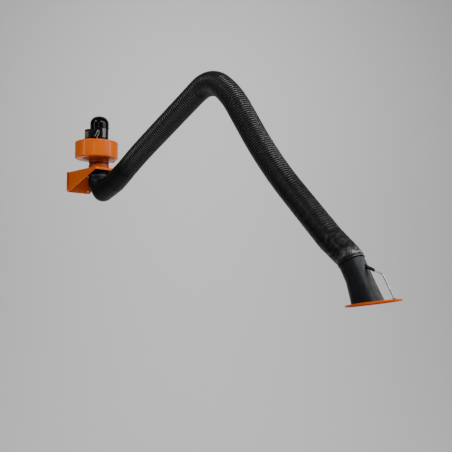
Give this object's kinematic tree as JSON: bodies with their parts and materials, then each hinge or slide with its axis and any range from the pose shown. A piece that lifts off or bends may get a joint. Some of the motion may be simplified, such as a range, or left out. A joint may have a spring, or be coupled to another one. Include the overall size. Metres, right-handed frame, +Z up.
{
  "type": "welding fume extractor arm",
  "caption": "Wall-mounted fume extraction arm: fan and motor on a steel bracket, jointed hose-covered arm, tilting hood with damper.",
  "frame": {"origin": "middle of the wall plate's back face, where it meets the wall", "axes": "+X right along the wall seen from the room, +Y into the wall, +Z up; at rest the arm hangs in the plane x = 0, out towards -Y"},
  "size_m": [0.424, 3.2336, 1.6215],
  "materials": {
    "orange_paint": "glossy orange powder coat",
    "orange_plastic": "satin orange powder coat",
    "black_paint": "satin black powder coat",
    "black_plastic": "glossy black moulding",
    "bearing_plastic": "plain off-white bearing plastic",
    "plate_white": "bare light plate",
    "lead_cover": "pale insulated lead",
    "bright_steel": "bright zinc-plated steel",
    "wheel_aluminium": "raw sheet aluminium",
    "arm_steel": "thin black paint on steel tube",
    "boot_rubber": "smooth matt black sleeve",
    "hose_fabric": "coated black fabric over wire"
  },
  "bodies": {
    "bracket_and_fan": {"wall_bracket": "orange_paint", "base_collar": "orange_paint", "neck_sleeve": "orange_paint", "inlet_collar": "orange_paint", "fan_housing": "orange_paint", "outlet_spigot": "orange_paint", "fan_lid": "orange_paint", "motor_body": "black_paint", "motor_cowl": "black_plastic", "flange_screws": "bright_steel", "terminal_box": "black_paint", "terminal_lid": "black_paint", "terminal_label": "plate_white", "cable_gland": "black_plastic", "bonding_lead": "lead_cover", "lead_foot": "bright_steel", "rating_plate": "plate_white", "slide_ring": "bearing_plastic", "turn_ring": "black_paint"},
    "rotor": {"fan_wheel": "wheel_aluminium", "motor_shaft": "bright_steel", "cooling_fan": "black_plastic"},
    "swivel": {"swivel_spigot": "black_paint", "swivel_yoke": "black_paint", "boot_band": "bright_steel", "shoulder_boot": "boot_rubber", "shoulder_pin": "bright_steel", "shoulder_discs": "bearing_plastic", "shoulder_spring": "bright_steel"},
    "lower_arm": {"lower_tongue": "arm_steel", "lower_tube": "arm_steel", "elbow_fork": "arm_steel", "lower_hoop": "arm_steel", "middle_hoop": "arm_steel", "lower_hose": "hose_fabric", "elbow_pin": "bright_steel", "elbow_discs": "bearing_plastic", "elbow_spring": "bright_steel", "elbow_hose": "hose_fabric"},
    "upper_arm": {"upper_tongue": "arm_steel", "upper_tube": "arm_steel", "wrist_fork": "arm_steel", "upper_hoop": "arm_steel", "tail_hoop": "arm_steel", "upper_hose": "hose_fabric", "tilt_pin": "bright_steel", "wrist_hose": "hose_fabric"},
    "wrist": {"wrist_block": "black_paint", "roll_pin": "bright_steel"},
    "hood": {"hood_stem": "black_paint", "hood_band": "bright_steel", "hood_shell": "black_paint", "hood_ring": "orange_plastic", "hood_handle": "bright_steel", "handle_boss": "black_paint"},
    "damper": {"damper_blade": "bright_steel", "damper_lever": "bright_steel"}
  },
  "joints": [
    {"name": "fan_spin", "type": "hinge", "parent": "bracket_and_fan", "child": "rotor", "pos_m": [0, -0.31, 0.292], "axis": [0, 0, -1], "continuous": true},
    {"name": "swivel_turn", "type": "hinge", "parent": "bracket_and_fan", "child": "swivel", "pos_m": [0, -0.31, 0.07], "axis": [0, 0, 1], "range_deg": [-80, 80]},
    {"name": "shoulder_lift", "type": "hinge", "parent": "swivel", "child": "lower_arm", "pos_m": [0, -0.35, -0.093], "axis": [1, 0, 0], "range_deg": [-15, 58], "deforming": ["shoulder_boot"]},
    {"name": "elbow_bend", "type": "hinge", "parent": "lower_arm", "child": "upper_arm", "pos_m": [0, -1.72996, 0.53588], "axis": [1, 0, 0], "range_deg": [-60, 45], "deforming": ["elbow_hose"]},
    {"name": "hood_tilt", "type": "hinge", "parent": "upper_arm", "child": "wrist", "pos_m": [0, -2.93095, -0.75203], "axis": [1, 0, 0], "range_deg": [-40, 35], "deforming": ["wrist_hose"]},
    {"name": "hood_roll", "type": "hinge", "parent": "wrist", "child": "hood", "pos_m": [0, -2.94702, -0.78425], "axis": [0, -0.8949, 0.4462], "range_deg": [-30, 25], "deforming": ["wrist_hose"]},
    {"name": "damper_turn", "type": "hinge", "parent": "hood", "child": "damper", "pos_m": [0.00602, -3.00005, -0.89061], "axis": [0.9987, 0.0226, 0.0453], "range_deg": [0, 90]}
  ]
}
